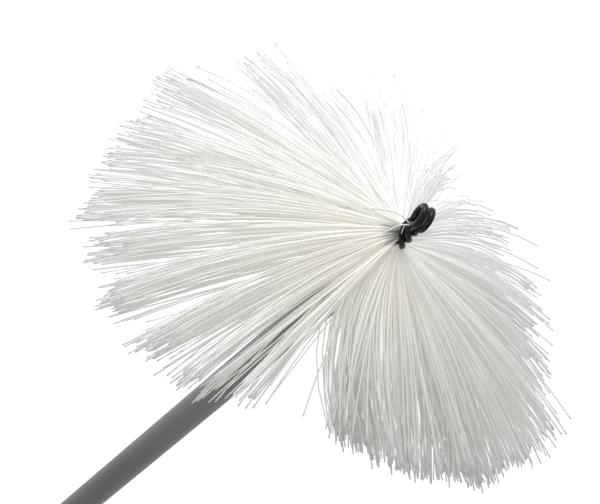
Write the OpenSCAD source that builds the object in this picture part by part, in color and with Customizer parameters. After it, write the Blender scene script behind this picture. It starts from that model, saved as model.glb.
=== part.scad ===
// Cobweb brush: a burst of long stiff nylon bristles in a twisted wire with a double eye, on a tube handle.
// The origin is the centre of the hanging hole. +Z runs up the handle to the bristles, +X along the hole.

/* [Handle tube] */
// Outside diameter of the steel tube
tube_od = 25; // [22:0.5:32]
// Wall of the tube
tube_wall = 1; // [0.8:0.1:1.5]
// Length of the tube, from the end cap to the mouth
tube_len = 900; // [500:10:1400]
// Length of the crimped neck at the mouth, where the tube grips the bush
neck_len = 60; // [55:1:90]
// How much the crimp takes off the tube's radius
neck_drop = 0.3; // [0.1:0.05:0.5]

/* [End cap] */
// Height of the cap's round rim, below the tube
cap_rim_h = 18; // [10:1:40]
// How far the rim's radius stays inside the tube's
cap_inset = 0.2; // [0.1:0.05:1]
// Length of the spigot inside the tube
spigot_len = 30; // [15:1:60]
// Distance from the hanging hole's centre to the rim
hole_to_rim = 12; // [10:1:30]
// Radius of the hanging hole
hole_r = 4.5; // [3:0.25:5.5]
// Thickness of the hanging tongue, along the hole
tongue_t = 9; // [6:0.5:14]
// Radius of the tongue's round end
tongue_r = 11; // [9:0.5:11.5]
// Chamfer round the rim's lower edge
rim_chamfer = 1.5; // [0.5:0.25:3]

/* [Bush, socket and pin in the mouth] */
// Length of the bush that fills the tube's mouth
bush_len = 58; // [52:1:80]
// Length of the steel socket that is swaged on the wires
socket_len = 56; // [50:1:75]
// Wall of the socket
socket_wall = 1.5; // [1:0.1:2]
// Depth of the socket's bore, which holds the wires' tails
socket_depth = 40; // [30:1:44]
// Radius of the cross pin through tube, bush and socket
pin_r = 2; // [1.5:0.1:3]
// Distance from the tube's mouth down to the cross pin
pin_depth = 49; // [47:0.5:51]

/* [Twisted wires and eye] */
// Diameter of the black wire
wire_d = 4.6; // [3.6:0.1:4.8]
// Radius from the axis to the middle of each of the four strands
twist_r = 4.9; // [4.8:0.1:5.2]
// Height in which a strand winds once round, left-handed
twist_pitch = 36; // [32:1:60]
// Length of bare twist between the bristles and the eye
bare_twist = 13.5; // [8:0.5:45]
// Height over which the twist dies out below the eye
twist_fade = 8; // [4:0.5:12]
// Radius of each eye, at the middle of the wire
eye_r = 7.75; // [7:0.25:12]
// Distance between the planes of the two eyes
eye_spacing = 6; // [5.5:0.1:7]
// Length of the neck between the twist and each eye's ring
eye_neck = 4.3; // [3:0.1:8]

/* [Bristles] */
// Length of the longest bristles, outside the packed roots
bristle_len = 200; // [120:1:260]
// Length of the shortest bristles, on the trimmed side
short_len = 138; // [100:1:200]
// Width across one modelled strand
strand_d = 1; // [0.8:0.05:1.1]
// Mean angle between the bristles and the handle
sweep_angle = 64; // [55:1:72]
// Angle that one layer stands further forward than the layer behind it
layer_angle = 1.8; // [1:0.1:2.5]
// Angle that a bristle bends back from root to tip
droop_angle = 8; // [0:1:14]
// Extra forward lean of the bristles opposite the long side
lean_angle = 7; // [0:1:12]
// Height of the wire that is packed with bristles
zone_h = 25; // [14:1:30]
// Radial depth of the packed roots outside the wires
root_depth = 3.5; // [3:0.25:6]
// Depth to which a strand's foot is sunk in the packed roots
foot_depth = 1; // [0.8:0.1:1.5]
// Clear height between the tube's mouth and the packed roots
root_lift = 0.5; // [0.3:0.1:3]
// Direction of the parting, where the burst is open
parting_az = 264; // [0:1:360]
// Width of the parting
parting_w = 27; // [8:1:30]
// Direction of the shortest bristles
short_az = 282; // [0:1:360]
// Direction of the bristles with the extra lean
lean_az = 345; // [0:1:360]
// Least spacing of the strands where they leave the packed roots
strand_pitch = 1.15; // [1.15:0.05:2]

/* [Clearances] */
// Clearance between pieces that are pressed or swaged together
fit_gap = 0.05; // [0.02:0.01:0.15]
// Clearance between the packed roots and their neighbours
soft_gap = 0.3; // [0.2:0.05:0.5]
// Clearance round the cross pin
pin_gap = 0.05; // [0.02:0.01:0.1]

/* [Hidden] */

steel_grey = [0.46, 0.48, 0.51];
cap_grey = [0.16, 0.16, 0.17];
bush_grey = [0.24, 0.24, 0.25];
zinc = [0.62, 0.63, 0.65];
wire_black = [0.06, 0.06, 0.065];
nylon = [0.9, 0.89, 0.85];

tube_r = tube_od / 2;
tube_bore_r = tube_r - tube_wall;
neck_r = tube_r - neck_drop;
neck_bore_r = neck_r - tube_wall;
tube_z = hole_to_rim + cap_rim_h;
mouth_z = tube_z + tube_len;
neck_z = mouth_z - neck_len;
cap_r = tube_r - cap_inset;

bush_z = mouth_z - bush_len;
socket_z = mouth_z - socket_len;
pin_z = mouth_z - pin_depth;
stem_r = twist_r + wire_d / 2;
socket_bore_r = stem_r + fit_gap;
socket_r = socket_bore_r + socket_wall;
tail_z = mouth_z - socket_depth + soft_gap;

roots_z = mouth_z + root_lift;
roots_in_r = stem_r + soft_gap;
roots_out_r = roots_in_r + root_depth;
LAYERS = 8;
GROUP_LAYERS = LAYERS / 2;
BUNCHES = 6;
layer_h = zone_h / LAYERS;
bunch_w = (360 - parting_w) / BUNCHES;
// Half of the burst that the shorter bristles, or the leaning ones, take up
BUMP_HALF = 90;
foot_r = roots_out_r - foot_depth;
// Angles at the feet: from a bunch's edge to its first strand, and from strand to strand
edge_a = asin((soft_gap / 2 + strand_d / 2) / foot_r);
per_layer = 1 + floor((bunch_w - 2 * edge_a) * PI / 180 * foot_r / strand_pitch);
foot_a = (bunch_w - 2 * edge_a) / (per_layer - 1);
STRAND_SIDES = 3;
STRAND_RINGS = 3;
ROOT_FACETS = 4;

twist_top_z = roots_z + zone_h + bare_twist;
WIRE_SIDES = 6;
RINGS_PER_TURN = 8;
EYE_RINGS = 24;
// Angle from the eye's top at which its ring runs out into the neck
EYE_HALF = 135;
eye_z = twist_top_z + eye_neck - eye_r * cos(EYE_HALF);

// Moves a list of points round the Z axis by an angle
function turned(p, a) = [p.x * cos(a) - p.y * sin(a), p.x * sin(a) + p.y * cos(a), p.z];
function unit(v) = v / norm(v);
// Triangles of a closed tube with a ring of points at each step
function tube_faces(rings, sides) = concat(
  [for (k = [0:rings - 2], i = [0:sides - 1]) each let (j = (i + 1) % sides)
    let (a = k * sides, b = (k + 1) * sides) [[a + i, b + i, b + j], [a + i, b + j, a + j]]],
  [for (i = [1:sides - 2]) [0, i, i + 1]],
  [for (i = [1:sides - 2]) let (e = (rings - 1) * sides) [e, e + i + 1, e + i]]
);

// Angle by which a strand has turned at a distance below the top of the twist, easing in over the fade
function twist_turn(below) = 360 / twist_pitch *
  (below < twist_fade ? below * below / (2 * twist_fade) : below - twist_fade / 2);

// Point of a strand at a distance below the top of the twist
function leg_point(az, below) = turned([twist_r, 0, twist_top_z - below], az + twist_turn(below));

// Cubic through two ends with their directions
function bent(a, da, b, db, t) =
  (a * (1 + 2 * t) + da * t) * (1 - t) * (1 - t) + (b * (3 - 2 * t) - db * (1 - t)) * t * t;

// Route of one wire: up a leg, round its eye and down the other leg. side is -1 or 1 along X.
leg_len = twist_top_z - tail_z;
leg_steps = ceil(leg_len / twist_pitch * RINGS_PER_TURN);
NECK_STEPS = 3;
function eye_point(side, a) = [side * eye_spacing / 2, eye_r * sin(a), eye_z + eye_r * cos(a)];
function neck_points(side, way, fine) = let (
    foot = leg_point(side > 0 ? way * 45 : 180 - way * 45, 0),
    ring = eye_point(side, way * EYE_HALF),
    rise = [0, 0, eye_neck * 1.4],
    out = [0, way * eye_neck, eye_neck]
  ) [for (i = [1:NECK_STEPS * fine - 1]) bent(foot, rise, ring, out, i / (NECK_STEPS * fine))];
function leg_points(side, way, fine) = let (az = side > 0 ? way * 45 : 180 - way * 45, n = leg_steps * fine)
  [for (i = [0:n]) leg_point(az, leg_len * (1 - i / n))];
function reversed(list) = [for (i = [len(list) - 1:-1:0]) list[i]];
function wire_route(side, fine = 1) = concat(
  leg_points(side, -1, fine), neck_points(side, -1, fine),
  [for (i = [0:EYE_RINGS * fine]) eye_point(side, EYE_HALF * (2 * i / (EYE_RINGS * fine) - 1))],
  reversed(neck_points(side, 1, fine)), reversed(leg_points(side, 1, fine))
);

// Direction of the route at each point, and a side direction that is carried along without twisting
function route_dirs(p) = [for (i = [0:len(p) - 1]) unit(p[min(i + 1, len(p) - 1)] - p[max(i - 1, 0)])];
function carried(n, d) = unit(n - (n * d) * d);
function side_dirs(d) = [for (i = 0, n = carried([1, 0, 0], d[0]); i < len(d);
  i = i + 1, n = carried(n, d[min(i, len(d) - 1)])) n];

module wire(side) {
  p = wire_route(side);
  d = route_dirs(p);
  n = side_dirs(d);
  points = [for (k = [0:len(p) - 1], i = [0:WIRE_SIDES - 1]) let (a = 360 * i / WIRE_SIDES)
    p[k] + wire_d / 2 * (cos(a) * n[k] + sin(a) * cross(d[k], n[k]))];
  color(wire_black) polyhedron(points, tube_faces(len(p), WIRE_SIDES), convexity = 10);
}

// Least gap between stretches of wire that aren't neighbours along it, measured on finely spaced points
GAP_FINE = 3;
gap_left = wire_route(-1, GAP_FINE);
gap_right = wire_route(1, GAP_FINE);
function own_gap(p) = min([for (i = [0:len(p) - 1], j = [i + 6 * GAP_FINE:1:len(p) - 1])
  if (j < len(p)) norm(p[i] - p[j])]) - wire_d;
echo(least_gap_in_one_wire = own_gap(gap_left));
echo(least_gap_between_wires = min([for (p = gap_left, q = gap_right) norm(p - q)]) - wire_d);

// Size of the smooth bump that is 1 in one direction and 0 from BUMP_HALF away
function off(a, b) = let (d = abs(a - b) % 360) min(d, 360 - d);
function bump(a, peak) = let (d = off(a, peak)) d < BUMP_HALF ? pow(cos(d * 90 / BUMP_HALF), 2) : 0;
function strand_len(a) = bristle_len - (bristle_len - short_len) * bump(a, short_az);
function strand_sweep(a, layer) =
  sweep_angle + lean_angle * bump(a, lean_az) + (layer - (LAYERS - 1) / 2) * layer_angle;

// One strand, bending evenly from root to tip. It leaves its foot at angle foot_az in the direction aim_az.
module strand(foot_az, aim_az, layer) {
  mid = strand_sweep(aim_az, layer);
  segs = STRAND_RINGS - 1;
  seg_len = (strand_len(aim_az) + foot_depth) / segs;
  foot = [foot_r, roots_z + (layer + 0.5) * layer_h];
  step = function(k) let (t = mid + droop_angle * (0.5 - (k + 0.5) / segs)) seg_len * [sin(t), -cos(t)];
  path = [for (k = 0, p = foot; k < STRAND_RINGS; p = p + step(k), k = k + 1) p];
  points = [for (k = [0:segs], i = [0:STRAND_SIDES - 1]) let (
      t = mid + droop_angle * (0.5 - k / segs),
      b = 90 + 360 * i / STRAND_SIDES,
      u = strand_d / 2 * sin(b)
    ) [path[k].x - foot_r + u * cos(t), strand_d / 2 * cos(b), path[k].y + u * sin(t)]];
  translate(turned([foot_r, 0, 0], foot_az)) rotate([0, 0, aim_az])
    polyhedron(points, tube_faces(STRAND_RINGS, STRAND_SIDES), convexity = 4);
}

// One bunch: its slice of the packed roots, with four layers of strands. group is 0 behind and 1 in front.
module bunch(number, group) {
  start = parting_az + parting_w / 2 + (number - 1) * bunch_w;
  // The slice's ends are set back square to their edges, so that neighbours stay the gap apart
  set_back = function(r) asin(soft_gap / 2 / r);
  arc = function(r) let (back = set_back(r))
    [for (i = [0:ROOT_FACETS]) start + back + (bunch_w - 2 * back) * i / ROOT_FACETS];
  // A facet's middle lies nearer the axis than its ends, so the inner ends stand out to keep the clearance
  inner = roots_in_r / cos(bunch_w / ROOT_FACETS / 2);
  outline = concat([for (a = arc(inner)) inner * [cos(a), sin(a)]],
    [for (a = reversed(arc(roots_out_r))) roots_out_r * [cos(a), sin(a)]]);
  slice_h = (zone_h - soft_gap) / 2;
  color(nylon) union() {
    translate([0, 0, roots_z + group * (zone_h - slice_h)]) linear_extrude(height = slice_h) polygon(outline);
    for (row = [0:GROUP_LAYERS - 1], j = [0:per_layer - 1]) {
      aim = start + bunch_w * (j + (row % 2 == 0 ? 0.25 : 0.75)) / per_layer;
      strand(start + edge_a + foot_a * j, aim, group * GROUP_LAYERS + row);
    }
  }
}

// Round bar across the handle at the pin's height, for the pin and its bores
module across(r, h) {
  translate([0, 0, pin_z]) rotate([0, 90, 0]) cylinder(r = r, h = h, center = true, $fn = 48);
}

module handle_tube() {
  color(steel_grey) difference() {
    rotate_extrude($fn = 96) polygon([
      [tube_bore_r, tube_z], [tube_r, tube_z], [tube_r, neck_z], [neck_r, neck_z + neck_drop],
      [neck_r, mouth_z], [neck_bore_r, mouth_z], [neck_bore_r, neck_z + neck_drop], [tube_bore_r, neck_z]
    ]);
    across(pin_r + pin_gap, 2 * tube_od);
  }
}

module end_cap() {
  spigot_r = tube_bore_r - fit_gap;
  color(cap_grey) difference() {
    union() {
      rotate_extrude($fn = 96) polygon([
        [0, hole_to_rim], [cap_r - rim_chamfer, hole_to_rim], [cap_r, hole_to_rim + rim_chamfer],
        [cap_r, tube_z], [spigot_r, tube_z], [spigot_r, tube_z + spigot_len - rim_chamfer],
        [spigot_r - rim_chamfer, tube_z + spigot_len], [0, tube_z + spigot_len]
      ]);
      rotate([0, 90, 0]) cylinder(r = tongue_r, h = tongue_t, center = true, $fn = 96);
      translate([-tongue_t / 2, -tongue_r, 0]) cube([tongue_t, 2 * tongue_r, hole_to_rim + rim_chamfer]);
    }
    rotate([0, 90, 0]) cylinder(r = hole_r, h = 2 * tongue_t, center = true, $fn = 64);
  }
}

module mouth_bush() {
  color(bush_grey) difference() {
    translate([0, 0, bush_z]) cylinder(r = neck_bore_r - fit_gap, h = bush_len, $fn = 96);
    translate([0, 0, socket_z]) cylinder(r = socket_r + fit_gap, h = socket_len + 1, $fn = 96);
    across(pin_r + pin_gap, 2 * tube_od);
  }
}

module wire_socket() {
  color(zinc) difference() {
    translate([0, 0, socket_z]) cylinder(r = socket_r, h = socket_len, $fn = 96);
    translate([0, 0, mouth_z - socket_depth]) cylinder(r = socket_bore_r, h = socket_depth + 1, $fn = 96);
    across(pin_r + pin_gap, 2 * tube_od);
  }
}

module cross_pin() {
  color(zinc) across(pin_r, 2 * neck_r);
}

module eye_wire_left() { wire(-1); }
module eye_wire_right() { wire(1); }
module bristles_rear(number) { bunch(number, 0); }
module bristles_front(number) { bunch(number, 1); }

handle_tube();
end_cap();
mouth_bush();
wire_socket();
cross_pin();
eye_wire_left();
eye_wire_right();
bristles_rear(1);  // bristles_rear_1
bristles_rear(2);  // bristles_rear_2
bristles_rear(3);  // bristles_rear_3
bristles_rear(4);  // bristles_rear_4
bristles_rear(5);  // bristles_rear_5
bristles_rear(6);  // bristles_rear_6
bristles_front(1);  // bristles_front_1
bristles_front(2);  // bristles_front_2
bristles_front(3);  // bristles_front_3
bristles_front(4);  // bristles_front_4
bristles_front(5);  // bristles_front_5
bristles_front(6);  // bristles_front_6
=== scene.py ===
import math

import bpy
from mathutils import Matrix, Vector


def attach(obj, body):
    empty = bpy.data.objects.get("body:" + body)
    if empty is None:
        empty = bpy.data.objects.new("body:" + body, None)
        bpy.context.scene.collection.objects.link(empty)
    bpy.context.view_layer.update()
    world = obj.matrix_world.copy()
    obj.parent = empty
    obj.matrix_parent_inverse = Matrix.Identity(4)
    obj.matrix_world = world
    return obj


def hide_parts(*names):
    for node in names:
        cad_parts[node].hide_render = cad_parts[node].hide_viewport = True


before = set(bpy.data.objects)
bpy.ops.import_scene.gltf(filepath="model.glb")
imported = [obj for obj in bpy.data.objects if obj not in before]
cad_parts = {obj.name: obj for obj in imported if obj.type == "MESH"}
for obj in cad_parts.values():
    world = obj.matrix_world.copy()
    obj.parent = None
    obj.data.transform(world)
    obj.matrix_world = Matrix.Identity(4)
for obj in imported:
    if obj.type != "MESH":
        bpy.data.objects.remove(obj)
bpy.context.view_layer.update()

# Handle tube: drawn steel tube, 25 mm across, in a satin grey powder coat with a few scuffs. Its mouth is
# crimped on the bush. Its colour is painted paler towards the head and darker towards the grip: painted light
# and painted shade for how the light falls along it.
COAT_DARK, COAT_PALE = (0.070, 0.074, 0.079, 1), (0.098, 0.103, 0.109, 1)
COAT_PAINTED_LIGHT, COAT_SCUFFED = (0.165, 0.166, 0.165, 1), (0.42, 0.43, 0.44, 1)
PAINTED_LIGHT_FROM, PAINTED_LIGHT_TO = 0.50, 0.74


class Socket:
    """An output socket of a node tree. Arithmetic with it adds Math nodes, and node() adds any other node."""

    def __init__(self, tree, out=None):
        self.tree, self.out = tree, out

    def node(self, kind, settings=None, inputs=None, out=0):
        made = self.tree.nodes.new(kind)
        for name, value in (settings or {}).items():
            setattr(made, name, value)
        for key, value in (inputs or {}).items():
            if isinstance(value, Socket):
                value.into(made.inputs[key])
            else:
                made.inputs[key].default_value = value
        return Socket(self.tree, made.outputs[out] if len(made.outputs) else None)

    def into(self, target):
        """Links this socket to a node's input."""
        self.tree.links.new(self.out, target)

    def math(self, operation, *values):
        """A Math node on the values given, in the tree of this socket."""
        return self.node("ShaderNodeMath", {"operation": operation}, dict(enumerate(values)))

    def __add__(self, other):
        return self.math("ADD", self, other)

    def __sub__(self, other):
        return self.math("SUBTRACT", self, other)

    def __mul__(self, other):
        return self.math("MULTIPLY", self, other)

    def __truediv__(self, other):
        return self.math("DIVIDE", self, other)

    def __radd__(self, other):
        return self.math("ADD", other, self)

    def __rsub__(self, other):
        return self.math("SUBTRACT", other, self)

    def __rmul__(self, other):
        return self.math("MULTIPLY", other, self)

    def ramp(self, low, high):
        """0 at low, 1 at high, straight between them and level beyond."""
        return self.node("ShaderNodeMapRange", inputs={0: self, 1: low, 2: high})

    def mixed(self, first, second):
        """Colour that goes from first to second as this socket goes from 0 to 1."""
        settings = {"data_type": "RGBA"}
        return self.node("ShaderNodeMix", settings, {0: self, 6: first, 7: second}, out=2)


def finish_of(name, **constants):
    """A new material, its shader, its tree, and the object coordinates in it."""
    material = bpy.data.materials.new(name)
    material.use_nodes = True
    shader = material.node_tree.nodes["Principled BSDF"]
    for key, value in constants.items():
        shader.inputs[key.replace("_", " ")].default_value = value
    tree = Socket(material.node_tree)
    place = tree.node("ShaderNodeTexCoord", out="Object")
    return material, shader, tree, place


def noise(tree, place, scale, detail=3.0, stretch=(1, 1, 1)):
    """Noise of a given scale a metre, from 0 to 1 about 0.5. A stretch below 1 draws it out along that axis."""
    where = tree.node("ShaderNodeMapping", inputs={"Vector": place, "Scale": stretch})
    return tree.node("ShaderNodeTexNoise", inputs={"Vector": where, "Scale": scale, "Detail": detail}, out="Fac")


def height_of(tree, place):
    return tree.node("ShaderNodeSeparateXYZ", inputs={0: place}, out="Z")


def bumped(tree, height, depth):
    return tree.node("ShaderNodeBump", inputs={"Height": height, "Distance": depth, "Strength": 1.0})


def plug(shader, **sockets):
    """Feeds what changes over the surface to the shader's inputs of the same names."""
    for key, value in sockets.items():
        value.into(shader.inputs[key.replace("_", " ")])


def dressed(node, material, edge_r):
    """A CAD node that keeps its shape gets its finish, and a small radius on its sharp edges."""
    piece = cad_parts[node]
    piece.data.materials.clear()
    piece.data.materials.append(material)
    edge = piece.modifiers.new("broken edges", "BEVEL")
    edge.width, edge.segments, edge.limit_method, edge.angle_limit = edge_r, 2, "ANGLE", math.radians(40)
    edge.harden_normals = True


coat, coat_shader, t, at = finish_of(
    "grey_powder_coat", Specular_IOR_Level=0.45, Coat_Weight=0.15, Coat_Roughness=0.3)
cloud = noise(t, at, scale=9, detail=2, stretch=(1, 1, 0.35))
streak = noise(t, at, scale=260, detail=2, stretch=(1, 1, 0.02))
orange_peel = noise(t, at, scale=1400, detail=1)
scuff = noise(t, at, scale=75, detail=4, stretch=(1, 1, 0.3)).ramp(0.66, 0.74)
scuff = scuff * noise(t, at, scale=14, detail=1).ramp(0.5, 0.6)
grey = (cloud * 0.6 + streak * 0.4).mixed(COAT_DARK, COAT_PALE)
# Painted light and shade: the coat goes paler towards the head and stays darker towards the grip, for how the
# light falls along the handle.
grey = height_of(t, at).ramp(PAINTED_LIGHT_FROM, PAINTED_LIGHT_TO).mixed(grey, COAT_PAINTED_LIGHT)
plug(coat_shader, Base_Color=(scuff * 0.5).mixed(grey, COAT_SCUFFED),
     Roughness=0.34 + 0.12 * cloud + 0.15 * scuff,
     Normal=bumped(t, orange_peel * 0.7 + scuff * 0.3, depth=0.00004))
dressed("handle_tube", coat, edge_r=0.0003)

# End cap: moulded plastic plug, pressed into the tube's lower end, with a tongue for hanging the brush up.
# It is black with a fine grain, a little polished where a hook rubs in the hole.
CAP_BLACK, CAP_RUBBED = (0.024, 0.024, 0.026, 1), (0.05, 0.05, 0.053, 1)
RUBBED_TO = 0.008
cap_plastic, cap_shader, t, at = finish_of("grained_cap_plastic", Specular_IOR_Level=0.45)
grain = noise(t, at, scale=2600, detail=2)
rubbed = noise(t, at, scale=220).ramp(0.45, 0.7) * height_of(t, at).ramp(RUBBED_TO, 0.0)
plug(cap_shader, Base_Color=(noise(t, at, scale=60) * 0.7 + rubbed * 0.4).mixed(CAP_BLACK, CAP_RUBBED),
     Roughness=0.62 - 0.2 * rubbed + 0.1 * grain, Normal=bumped(t, grain, depth=0.00005))
dressed("end_cap", cap_plastic, edge_r=0.0008)

# Mouth bush: a turned plastic sleeve that fills the tube's mouth round the socket. It is held by the crimp.
# Fine turning marks run round its face.
BUSH_BLACK, BUSH_GREY = (0.035, 0.035, 0.037, 1), (0.07, 0.07, 0.073, 1)
TURNING_MARKS = 9000
bush_plastic, bush_shader, t, at = finish_of("turned_bush_plastic", Specular_IOR_Level=0.45)
level_at = t.node("ShaderNodeVectorMath", {"operation": "MULTIPLY"}, {0: at, 1: (1, 1, 0)})
from_axis = t.node("ShaderNodeVectorMath", {"operation": "LENGTH"}, {0: level_at}, out="Value")
turning = t.math("SINE", from_axis * TURNING_MARKS)
plug(bush_shader, Base_Color=noise(t, at, scale=150).mixed(BUSH_BLACK, BUSH_GREY),
     Roughness=0.5 + 0.15 * noise(t, at, scale=500, detail=2), Normal=bumped(t, turning, depth=0.00002))
dressed("mouth_bush", bush_plastic, edge_r=0.0004)

# Wire socket and cross pin: zinc-plated steel. The socket is swaged on the four wire tails, and the pin
# goes through tube, bush and socket and is dressed off flush with the tube.
ZINC_DULL, ZINC_BRIGHT = (0.42, 0.43, 0.45, 1), (0.62, 0.63, 0.66, 1)
zinc, zinc_shader, t, at = finish_of("zinc_plate", Metallic=1.0)
spangle = t.node("ShaderNodeTexVoronoi", inputs={"Vector": at, "Scale": 420.0}, out="Distance")
drawn = noise(t, at, scale=900, detail=2, stretch=(1, 1, 0.03))
plug(zinc_shader, Base_Color=(spangle * 0.6 + drawn * 0.4).mixed(ZINC_DULL, ZINC_BRIGHT),
     Roughness=0.3 + 0.2 * drawn, Normal=bumped(t, drawn, depth=0.00002))
dressed("wire_socket", zinc, edge_r=0.0003)
dressed("cross_pin", zinc, edge_r=0.0003)

# Twisted wires: two hairpins of 4.6 mm wire, black oxide under a thin varnish, twisted together left-handed
# by a machine that holds the folds. The folds are the double eye, and the twist grips the bristles. It is
# a little tighter at its top, and bows out by a millimetre where the bristles leave it.
WIRE_R = 0.0023
TWIST_R, TWIST_LEAD, TWIST_TOP, TWIST_FADE = 0.0049, 0.036, 0.969, 0.0054
TIGHTER_BY, TIGHTER_OVER = 0.0009, 0.012
BOW_X, BOW_Y, BOW_BELOW, BOW_HALF = 0.0012 * 0.906, -0.0012 * 0.423, 0.020, 0.014
TAIL_Z = 0.8903
EYE_R, EYE_NECK, EYE_ASIDE = 0.00775, 0.0043, 0.003
EYE_HALF = math.radians(135)
EYE_Z = TWIST_TOP + EYE_NECK + EYE_R * math.cos(math.radians(45))
LEG_STEPS, NECK_STEPS, EYE_STEPS = 64, 9, 24
WIRE_SIDES = 16
OXIDE_BLACK, OXIDE_BROWN, WORN_STEEL = (0.004, 0.004, 0.0045, 1), (0.014, 0.013, 0.012, 1), (0.13, 0.112, 0.09, 1)


def leg_point(start, below):
    """A strand of the twist, at a distance below the top of the twist."""
    turned = below * below / (2 * TWIST_FADE) if below < TWIST_FADE else below - TWIST_FADE / 2
    angle = start + 2 * math.pi * turned / TWIST_LEAD
    r = TWIST_R - TIGHTER_BY * math.exp(-below / TIGHTER_OVER)
    bow = math.exp(-((below - BOW_BELOW) / BOW_HALF) ** 2)
    return Vector((r * math.cos(angle) + BOW_X * bow, r * math.sin(angle) + BOW_Y * bow, TWIST_TOP - below))


def wire_route(side):
    """Up a leg, round the eye and down the other leg."""
    def leg(way):
        start = math.radians(way * 45 if side > 0 else 180 - way * 45)
        length = TWIST_TOP - TAIL_Z
        points = [leg_point(start, length * (1 - i / LEG_STEPS)) for i in range(LEG_STEPS + 1)]
        foot, ring = points[-1], eye(way * EYE_HALF)
        rise, out = Vector((0, 0, EYE_NECK * 1.4)), Vector((0, way * EYE_NECK, EYE_NECK))
        for i in range(1, NECK_STEPS):
            u = i / NECK_STEPS
            points.append(foot * (1 + 2 * u) * (1 - u) ** 2 + rise * u * (1 - u) ** 2
                          + ring * u * u * (3 - 2 * u) - out * u * u * (1 - u))
        return points

    def eye(angle):
        return Vector((side * EYE_ASIDE, EYE_R * math.sin(angle), EYE_Z + EYE_R * math.cos(angle)))

    ring = [eye(EYE_HALF * (i / EYE_STEPS - 1)) for i in range(2 * EYE_STEPS + 1)]
    return leg(-1) + ring + leg(1)[::-1]


def wire_radius(way):
    """The varnish is thicker on the twist than on the eye, which lies half-way along the wire."""
    return WIRE_R * (1.07 - 0.06 * math.exp(-((way - 0.5) / 0.13) ** 2))


def swept(name, path, radius, sides, material):
    """A round bar along a path of points. Its ends are closed, and its faces look outward."""
    curve = bpy.data.curves.new(name, "CURVE")
    curve.dimensions = "3D"
    curve.bevel_depth = 1.0
    curve.bevel_resolution = sides // 2 - 2
    curve.use_fill_caps = True
    spline = curve.splines.new("POLY")
    spline.points.add(len(path) - 1)
    for i, (point, place) in enumerate(zip(spline.points, path)):
        point.co = (*place, 1)
        point.radius = radius(i / (len(path) - 1)) if callable(radius) else radius
    holder = bpy.data.objects.new(name + "_curve", curve)
    bpy.context.scene.collection.objects.link(holder)
    view = bpy.context.evaluated_depsgraph_get()
    mesh = bpy.data.meshes.new_from_object(holder.evaluated_get(view), depsgraph=view)
    bpy.data.objects.remove(holder)
    mesh.name = name
    mesh.materials.clear()
    mesh.materials.append(material)
    mesh.shade_smooth()
    piece = bpy.data.objects.new(name, mesh)
    bpy.context.scene.collection.objects.link(piece)
    return piece


oxide, oxide_shader, t, at = finish_of(
    "black_oxide_wire", Specular_IOR_Level=0.22, Coat_Weight=0.1, Coat_Roughness=0.15)
worn = noise(t, at, scale=600, detail=4, stretch=(1, 1, 0.5)).ramp(0.56, 0.70)
drawing = noise(t, at, scale=1500, stretch=(1, 1, 0.35))
mottle = noise(t, at, scale=700)
black = mottle.mixed(OXIDE_BLACK, OXIDE_BROWN)
plug(oxide_shader, Base_Color=(worn * 0.5).mixed(black, WORN_STEEL), Metallic=0.5 * worn,
     Roughness=0.16 + 0.18 * mottle, Normal=bumped(t, drawing * 0.6 + mottle * 0.4, depth=0.00011))
for side, word in ((-1, "left"), (1, "right")):
    wire = swept(f"twisted_wire_{word}", wire_route(side), wire_radius, WIRE_SIDES, oxide)
    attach(wire, "root")
    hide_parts(f"eye_wire_{word}")

# Bristles: stiff white nylon filaments about 1 mm thick, laid in the wire before it was twisted. The twist packs
# their roots in a tight collar, and they sweep back over the handle, cling in tufts, and sag a little.
RINGS, SIDES = 9, 5
LAYERS, LAYERS_CLOSE = 8, 0.98
ROOT_R, ROOTS_Z, ROOTS_H, ROOTS_SLANT, SLANT_WAY = 0.0062, 0.9318, 0.0200, 0.0100, math.radians(270)
TUFTS_IN_LOCK = 3.0
FREE_ABOVE, FREE_ASIDE = 0.87, 0.16
CLING_MOST, CLING_LOST = 0.95, 0.62
CURL_HALF = math.radians(40)
# Angles round the wire, in degrees: the middle and half-width of where the filaments are longer or shorter, and by
# how much, then of where their roots get painted shade next to the wire, and of where the nylon is warm
LENGTH_CHANGES = ((0.06, 343, 24), (-0.08, 12, 30), (-0.10, 272, 34))
PAINTED_ROOT_SHADE_WAY, WARM = (222, 62), (250, 165)
# Down in the photograph, where the handle is held tipped
DOWN = Vector((0.50, -0.74, -0.455))


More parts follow.
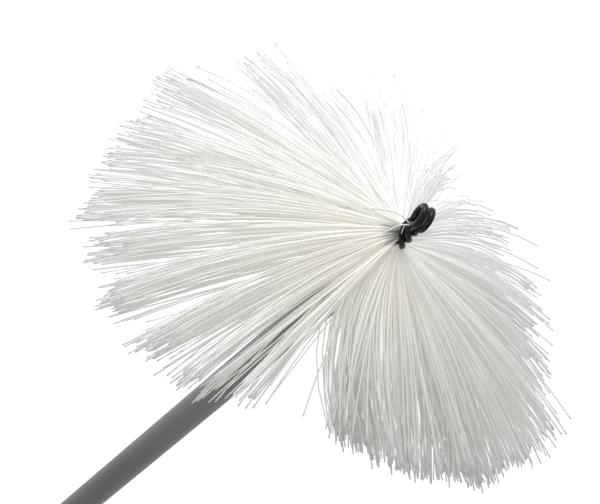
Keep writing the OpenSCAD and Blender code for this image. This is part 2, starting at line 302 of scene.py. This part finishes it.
def bristle_tree():
    """Node tree of one bunch. Each filament leaves the wire at its own place and bends evenly to its tip."""
    tree = bpy.data.node_groups.new("bristle_bunch", "GeometryNodeTree")
    face = tree.interface
    kinds = {"Count": "Int", "Seed": "Int", "Tuft seed": "Int", "Material": "Material"}
    names = ("Count", "Seed", "Start", "Width", "First layer", "Length", "Short length", "Short way", "Sweep",
             "Layer step", "Lean", "Lean way", "Droop", "Sag", "Crowding", "Curl", "Curl way", "Bend",
             "Tuft", "Tuft seed", "Cling", "Spread", "Thickness", "Dust and shade", "Material")
    for name in names:
        face.new_socket(name=name, in_out="INPUT", socket_type="NodeSocket" + kinds.get(name, "Float"))
    face.new_socket(name="Geometry", in_out="OUTPUT", socket_type="NodeSocketGeometry")
    entry = tree.nodes.new("NodeGroupInput")
    g = Socket(tree)
    given = {name: Socket(tree, entry.outputs[name]) for name in names}

    line = g.node("GeometryNodeCurvePrimitiveLine", inputs={"End": (0, 0, 0.1)})
    line = g.node("GeometryNodeResampleCurve", inputs={"Curve": line, "Count": RINGS})
    points = g.node("GeometryNodePoints", inputs={"Count": given["Count"]})
    laid = g.node("GeometryNodeInstanceOnPoints", inputs={"Points": points, "Instance": line})
    laid = g.node("GeometryNodeRealizeInstances", inputs={0: laid})

    # Which filament, tuft and lock a point is in, and how far along the filament it is, with more near the root
    index = g.node("GeometryNodeInputIndex")
    number = g.math("FLOOR", index / RINGS + 0.001)
    along = g.math("POWER", (index - number * RINGS) / (RINGS - 1), 1.25)
    tuft = g.math("FLOOR", number / given["Tuft"] + 0.001)
    lock = g.math("FLOOR", number / (given["Tuft"] * TUFTS_IN_LOCK) + 0.001)

    def chance(low, high, own, draw, shared=False):
        """A draw for each filament, tuft or lock, which has a number of its own, so that no two draws agree.
        A shared one is the same in the front and the rear bunch."""
        seed = given["Tuft seed" if shared else "Seed"] + draw
        settings = {"data_type": "FLOAT"}
        return g.node("FunctionNodeRandomValue", settings, {2: low, 3: high, 7: own, 8: seed}, out=1)

    def bump(angle, peak, half=math.pi / 2):
        """1 at the peak, 0 from half an angle away, and smooth between."""
        apart = g.math("ABSOLUTE", g.math("WRAP", angle - peak, math.pi, -math.pi))
        near = g.math("MINIMUM", apart / half, 1.0)
        return g.math("POWER", g.math("COSINE", near * (math.pi / 2)), 2.0)

    def way_of(place):
        """Angle round the wire of a place in the row of filaments."""
        share = g.math("POWER", place / given["Count"], given["Crowding"])
        return given["Start"] + given["Width"] * share

    # The way that a filament points in: its foot's, drawn towards its tuft's, and towards its lock's
    foot = way_of(number + 0.5) + chance(-0.04, 0.04, number, 1)
    tuft_way = way_of((tuft + 0.5) * given["Tuft"]) + chance(-0.03, 0.03, tuft, 2, shared=True)
    lock_way = way_of((lock + 0.5) * given["Tuft"] * TUFTS_IN_LOCK)
    tuft_way = tuft_way + (lock_way - tuft_way) * chance(0.1, 0.8, lock, 16, shared=True)
    free = g.math("GREATER_THAN", chance(0.0, 1.0, number, 3), FREE_ABOVE)
    pull = given["Cling"] * (CLING_MOST - CLING_LOST * free) * (0.5 + 0.5 * along)
    stray = chance(-1.0, 1.0, number, 4)
    stray = stray * (0.3 + 2.2 * g.math("POWER", g.math("ABSOLUTE", stray), 6.0))
    aim = foot + (tuft_way - foot) * pull + given["Spread"] * stray
    aim = aim + free * along * chance(-FREE_ASIDE, FREE_ASIDE, number, 18)

    # How steeply it leaves the wire, by its layer, and how long it is
    height = chance(0.0, 1.0, number, 5)
    layer = given["First layer"] + height * (LAYERS / 2) - 0.5
    sweep = given["Sweep"] + given["Lean"] * bump(aim, given["Lean way"])
    sweep = sweep + (layer - (LAYERS - 1) / 2) * given["Layer step"] * (1.0 - LAYERS_CLOSE * pull)
    sweep = sweep + chance(-0.085, 0.085, tuft, 6, shared=True) + given["Spread"] * stray * 0.4
    length = given["Length"] - (given["Length"] - given["Short length"]) * bump(aim, given["Short way"])
    for change, peak, half in LENGTH_CHANGES:
        length = length * (1.0 + change * bump(aim, math.radians(peak), math.radians(half)))
    length = length * (0.99 + chance(-0.035, 0.02, tuft, 8, shared=True) + chance(-0.045, 0.015, number, 9))

    # Its curve: an arc from the steep root to the tip, turned sideways near the root where it curls round the wire
    steep = sweep + given["Droop"] * 0.5
    bent = steep - given["Droop"] * along
    curl = given["Curl"] * bump(aim, given["Curl way"], CURL_HALF)
    curl = curl * (0.6 * chance(0.1, 1.0, tuft, 15, shared=True) + 0.4 * chance(0.2, 1.0, number, 21))
    bend = given["Bend"] * (chance(-1.0, 1.0, tuft, 19, shared=True) + chance(-0.6, 0.6, number, 20))
    aim = aim - (curl + bend) * (1.0 - along)
    out = length * (g.math("COSINE", bent) - g.math("COSINE", steep)) / given["Droop"]
    down = length * (g.math("SINE", steep) - g.math("SINE", bent)) / given["Droop"]
    wander = g.math("SINE", along * math.pi) * chance(-0.0012, 0.0012, number, 10)
    x = ROOT_R * g.math("COSINE", foot) + out * g.math("COSINE", aim) - wander * g.math("SINE", aim)
    y = ROOT_R * g.math("SINE", foot) + out * g.math("SINE", aim) + wander * g.math("COSINE", aim)
    depth = ROOTS_H + ROOTS_SLANT * g.math("SINE", SLANT_WAY - foot)
    z = ROOTS_Z + depth * (given["First layer"] / LAYERS + height * 0.5) - down
    sag = given["Sag"] * along * (along - 0.85) * (length / given["Length"]) * chance(0.85, 1.15, tuft, 11)
    place = g.node("ShaderNodeCombineXYZ", inputs={0: x + sag * DOWN.x, 1: y + sag * DOWN.y, 2: z + sag * DOWN.z})
    laid = g.node("GeometryNodeSetPosition", inputs={"Geometry": laid, "Position": place})

    # What the material reads: a filament's own shade, its dust and painted shade at the tip, the painted shade of
    # its root next to the wire, and its warmth
    for name, value in (
            ("shade", 0.6 * chance(0.0, 1.0, number, 13) + 0.4 * chance(0.0, 1.0, tuft, 14)),
            ("along", along),
            ("dust_and_shade", given["Dust and shade"] * along * along * chance(0.6, 1.0, tuft, 17)),
            ("painted_root_shade", along.ramp(0.06, 0.0) * bump(foot, *map(math.radians, PAINTED_ROOT_SHADE_WAY))),
            ("warm", bump(foot, *map(math.radians, WARM)) * (1.0 - 0.9 * along))):
        laid = g.node("GeometryNodeStoreNamedAttribute", inputs={"Geometry": laid, "Name": name, "Value": value})

    thick = given["Thickness"] * chance(0.85, 1.15, number, 12)
    section = g.node("GeometryNodeCurvePrimitiveCircle", inputs={"Resolution": SIDES, "Radius": 0.5})
    body = g.node("GeometryNodeCurveToMesh", inputs={
        "Curve": laid, "Profile Curve": section,
        "Scale": thick * (1.35 - 0.35 * along.ramp(0.0, 0.25)), "Fill Caps": True})
    body = g.node("GeometryNodeSetShadeSmooth", inputs={"Geometry": body})
    body = g.node("GeometryNodeRealizeInstances", inputs={0: body})
    body = g.node("GeometryNodeSetMaterial", inputs={"Geometry": body, "Material": given["Material"]})
    g.node("NodeGroupOutput", inputs={"Geometry": body})
    return tree


# Nylon: milky and warm near the roots, clear white along the filament, with some tips greyed by dust and painted
# shade, painted shade on the roots next to the wire, and a grey cut end.
# The light that passes from filament to filament is a faint glow, strongest near the roots.
CREAM_DULL, CREAM_BRIGHT = (0.89, 0.865, 0.775, 1), (0.98, 0.96, 0.89, 1)
CLEAR_DULL, CLEAR_BRIGHT = (0.82, 0.82, 0.805, 1), (0.98, 0.98, 0.97, 1)
DUST_AND_SHADE_GREY, PAINTED_ROOT_SHADE_COLOUR, CUT_GREY = (0.42, 0.43, 0.41, 1), (0.10, 0.097, 0.09, 1), (0.42, 0.42, 0.40, 1)
GLOW_ROOT, GLOW_TIP, NO_GLOW = (1, 0.985, 0.94, 1), (0.6, 0.6, 0.58, 1), (0, 0, 0, 1)
nylon, nylon_shader, t, at = finish_of("white_nylon_filament", Specular_IOR_Level=0.35, Emission_Strength=0.125)
shade, along, dust_and_shade, painted_root_shade, warm = (
    t.node("ShaderNodeAttribute", {"attribute_name": name}, out="Fac")
    for name in ("shade", "along", "dust_and_shade", "painted_root_shade", "warm"))
colour = warm.mixed(shade.mixed(CLEAR_DULL, CLEAR_BRIGHT), shade.mixed(CREAM_DULL, CREAM_BRIGHT))
# Painted shade: on one side of the wire the roots go near black, for the shade of the wire and the packed roots.
# Some tips go grey, partly dust and partly painted shade.
colour = painted_root_shade.mixed(dust_and_shade.mixed(colour, DUST_AND_SHADE_GREY), PAINTED_ROOT_SHADE_COLOUR)
colour = (along.ramp(0.975, 0.99) * 0.45).mixed(colour, CUT_GREY)
glow = along.ramp(0.1, 0.8).mixed(GLOW_ROOT, GLOW_TIP)
# The painted root shade also takes the glow away there.
glow = t.math("MINIMUM", painted_root_shade * 1.3, 1.0).mixed(glow, NO_GLOW)
plug(nylon_shader, Base_Color=colour, Roughness=0.32 + 0.2 * shade, Emission_Color=glow)

# Six bunches go round the wire from the parting, in a rear and a front group of layers. The first curls round
# the wire, and it and the last lap into the parting.
PARTING, PARTING_W, PARTING_LAP = math.radians(264), math.radians(27), 0.03
BUNCH_W = (2 * math.pi - PARTING_W) / 6
# The sixth column greys the tips of a bunch: partly dust, and partly painted shade on the lower fan, which gets no
# light from below.
COLUMNS = ("Count", "Tuft", "Length", "Cling", "Thickness", "Dust and shade", "Bend")
BUNCHES = (
    (205, 10.0, 0.206, 0.70, 0.00105, 0.36, 0.22),
    (190, 10.0, 0.198, 0.35, 0.00105, 0.05, 0.10),
    (96, 7.0, 0.206, 0.80, 0.00095, 0.00, 0.08),
    (56, 6.0, 0.208, 1.00, 0.00110, 0.25, 0.08),
    (92, 9.0, 0.215, 1.00, 0.00115, 0.20, 0.05),
    (150, 11.0, 0.208, 0.95, 0.00110, 0.15, 0.09),
)
COMMON = {
    "Short length": 0.143, "Short way": math.radians(282), "Sweep": math.radians(64),
    "Layer step": math.radians(1.8), "Lean": math.radians(5), "Lean way": math.radians(345),
    "Droop": math.radians(8), "Sag": 0.024, "Curl way": math.radians(277), "Spread": math.radians(2.0),
    "Material": nylon,
}
bristle_bunch = bristle_tree()
for group, word in enumerate(("rear", "front")):
    for number, row in enumerate(BUNCHES, 1):
        name = f"nylon_{word}_{number}"
        piece = bpy.data.objects.new(name, bpy.data.meshes.new(name))
        bpy.context.scene.collection.objects.link(piece)
        grown = piece.modifiers.new("bristles", "NODES")
        grown.node_group = bristle_bunch
        start = PARTING + PARTING_W / 2 + (number - 1) * BUNCH_W
        values = {
            **COMMON, **dict(zip(COLUMNS, row)),
            "Seed": 100 * group + 7 * number, "Tuft seed": 31 * number,
            "First layer": LAYERS / 2 * group,
            "Start": start - (PARTING_LAP if number == 1 else 0.0),
            "Width": BUNCH_W + (PARTING_LAP if number in (1, 6) else 0.0),
            "Curl": math.radians(56 if number == 1 else 0),
            "Crowding": 0.62 if number == 5 else 1.0,
        }
        for socket in bristle_bunch.interface.items_tree:
            if socket.in_out == "INPUT":
                grown[socket.identifier] = values[socket.name]
        view = bpy.context.evaluated_depsgraph_get()
        mesh = bpy.data.meshes.new_from_object(
            piece.evaluated_get(view), preserve_all_data_layers=True, depsgraph=view)
        piece.modifiers.clear()
        piece.data = mesh
        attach(piece, "root")
        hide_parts(f"bristles_{word}_{number}")

# Stray bristles: three filaments that missed their tufts. Two bend over the first turns of the wire, and
# a long one stands off the left side of the head.
STRAY_SIDES = 6
STRAYS = (
    ("long_stray", 0.0010, 0.5, (
        (-0.0008, -0.0039, 0.9699), (-0.0080, -0.0022, 0.9716), (-0.0138, -0.0000, 0.9700),
        (-0.0205, 0.0012, 0.9660), (-0.0407, 0.0035, 0.9461), (-0.0957, 0.0044, 0.8818),
        (-0.1221, 0.0026, 0.8536))),
    ("bent_stray", 0.0008, 0.0, (
        (0.0008, -0.0043, 0.9715), (-0.0053, -0.0056, 0.9723), (-0.0101, -0.0066, 0.9685),
        (-0.0133, -0.0085, 0.9604), (-0.0164, -0.0112, 0.9543), (-0.0215, -0.0153, 0.9444))),
    ("short_stray", 0.0006, 0.5, (
        (-0.0066, -0.0051, 0.9696), (-0.0072, -0.0060, 0.9687), (-0.0064, -0.0075, 0.9670),
        (-0.0055, -0.0093, 0.9645))),
)
for name, thick, dust_and_shade_level, places in STRAYS:
    bend = bpy.data.curves.new(name, "CURVE")
    bend.dimensions = "3D"
    spline = bend.splines.new("NURBS")
    spline.points.add(len(places) - 1)
    for point, place in zip(spline.points, places):
        point.co = (*place, 1)
    spline.order_u, spline.use_endpoint_u, spline.resolution_u = 3, True, 8
    shape = bpy.data.objects.new(name + "_path", bend)
    bpy.context.scene.collection.objects.link(shape)
    view = bpy.context.evaluated_depsgraph_get()
    line = shape.evaluated_get(view).to_mesh()
    path = [vertex.co.copy() for vertex in line.vertices]
    bpy.data.objects.remove(shape)
    stray = swept(name, path, thick / 2, STRAY_SIDES, nylon)
    for key, value in (("shade", 0.5), ("along", 0.5), ("dust_and_shade", dust_and_shade_level)):
        painted = stray.data.attributes.new(key, "FLOAT", "POINT")
        painted.data.foreach_set("value", [value] * len(stray.data.vertices))
    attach(stray, "root")

# Floor: one pale matt sheet just below the end cap, as in a studio. It is no part of the brush.
FLOOR_HALF, FLOOR_Z = 9, -0.0115
FLOOR_PALE, FLOOR_PALER, WHITE = (0.9, 0.9, 0.9, 1), (0.93, 0.93, 0.93, 1), (1, 1, 1, 1)
corners = [(x * FLOOR_HALF, y * FLOOR_HALF, FLOOR_Z) for x, y in ((-1, -1), (1, -1), (1, 1), (-1, 1))]
floor_mesh = bpy.data.meshes.new("studio_floor")
floor_mesh.from_pydata(corners, [], [(0, 1, 2, 3)])
floor = bpy.data.objects.new("studio_floor", floor_mesh)
bpy.context.scene.collection.objects.link(floor)
paper, paper_shader, t, at = finish_of("pale_paper", Roughness=0.9, Specular_IOR_Level=0.1)
plug(paper_shader, Base_Color=noise(t, at, scale=3, detail=2).mixed(FLOOR_PALE, FLOOR_PALER))
matt = Socket(t.tree, paper_shader.outputs[0])
seen = t.node("ShaderNodeLightPath", out="Is Camera Ray")
lit = t.node("ShaderNodeEmission", inputs={"Color": WHITE, "Strength": 0.25})
both = t.node("ShaderNodeAddShader", inputs={0: matt, 1: lit})
surface = t.node("ShaderNodeMixShader", inputs={0: seen, 1: matt, 2: both})
surface.into(paper.node_tree.nodes["Material Output"].inputs["Surface"])
floor_mesh.materials.append(paper)
paper.cycles.emission_sampling = "NONE"

# Light: a white room, brighter on the side that was up in the photograph, with a wide lamp from behind the head
# that gives the handle its streak, and a weak one from the camera's side.
ROOM_LEVEL, ROOM_LIFT = 0.50, 0.38
world = bpy.data.worlds.new("studio")
bpy.context.scene.world = world
world.use_nodes = True
background = world.node_tree.nodes["Background"]
room = Socket(world.node_tree)
camera_ray, clear_ray = (
    room.node("ShaderNodeLightPath", out=name) for name in ("Is Camera Ray", "Is Transmission Ray"))
backdrop = room.math("MAXIMUM", camera_ray, clear_ray)
way = room.node("ShaderNodeTexCoord", out="Generated")
lift = room.node("ShaderNodeVectorMath", {"operation": "DOT_PRODUCT"}, {0: way, 1: -DOWN}, out="Value")
level = ROOM_LEVEL + ROOM_LIFT * lift
level = level + (1.0 - level) * backdrop
background.inputs["Color"].default_value = WHITE
level.into(background.inputs["Strength"])


def lamp(name, place, target, size, watts, colour):
    light = bpy.data.lights.new(name, "AREA")
    light.shape, light.size, light.energy, light.color = "DISK", size, watts, colour
    holder = bpy.data.objects.new(name, light)
    bpy.context.scene.collection.objects.link(holder)
    holder.location = place
    holder.rotation_mode = "QUATERNION"
    holder.rotation_quaternion = (Vector(target) - Vector(place)).to_track_quat("-Z", "Y")


lamp("key", (-1.5, 1.5, 2.6), (0, 0, 0.9), size=1.6, watts=42, colour=(0.94, 0.975, 1.0))
lamp("fill", (-1.2, -1.6, 2.0), (0, 0, 0.7), size=1.4, watts=5, colour=(1, 1, 1))

# Camera: where the photograph was taken from, 1.3 m from the head, with the handle tipped 45 degrees to it.
SENSOR, FOCAL_PX, IMAGE_PX = 36, 1856.16, 600
camera_data = bpy.data.cameras.new("camera")
camera_data.sensor_width, camera_data.lens = SENSOR, SENSOR * FOCAL_PX / IMAGE_PX
camera_data.clip_start, camera_data.clip_end = 0.05, 50
camera = bpy.data.objects.new("camera", camera_data)
bpy.context.scene.collection.objects.link(camera)
camera.matrix_world = Matrix((
    (0.82739, -0.49916, -0.25777, -0.38584),
    (0.25478, 0.74241, -0.61970, -0.82743),
    (0.50071, 0.44707, 0.74130, 1.86997),
    (0, 0, 0, 1)))
bpy.context.scene.camera = camera
bpy.context.scene.view_settings.view_transform = "Standard"
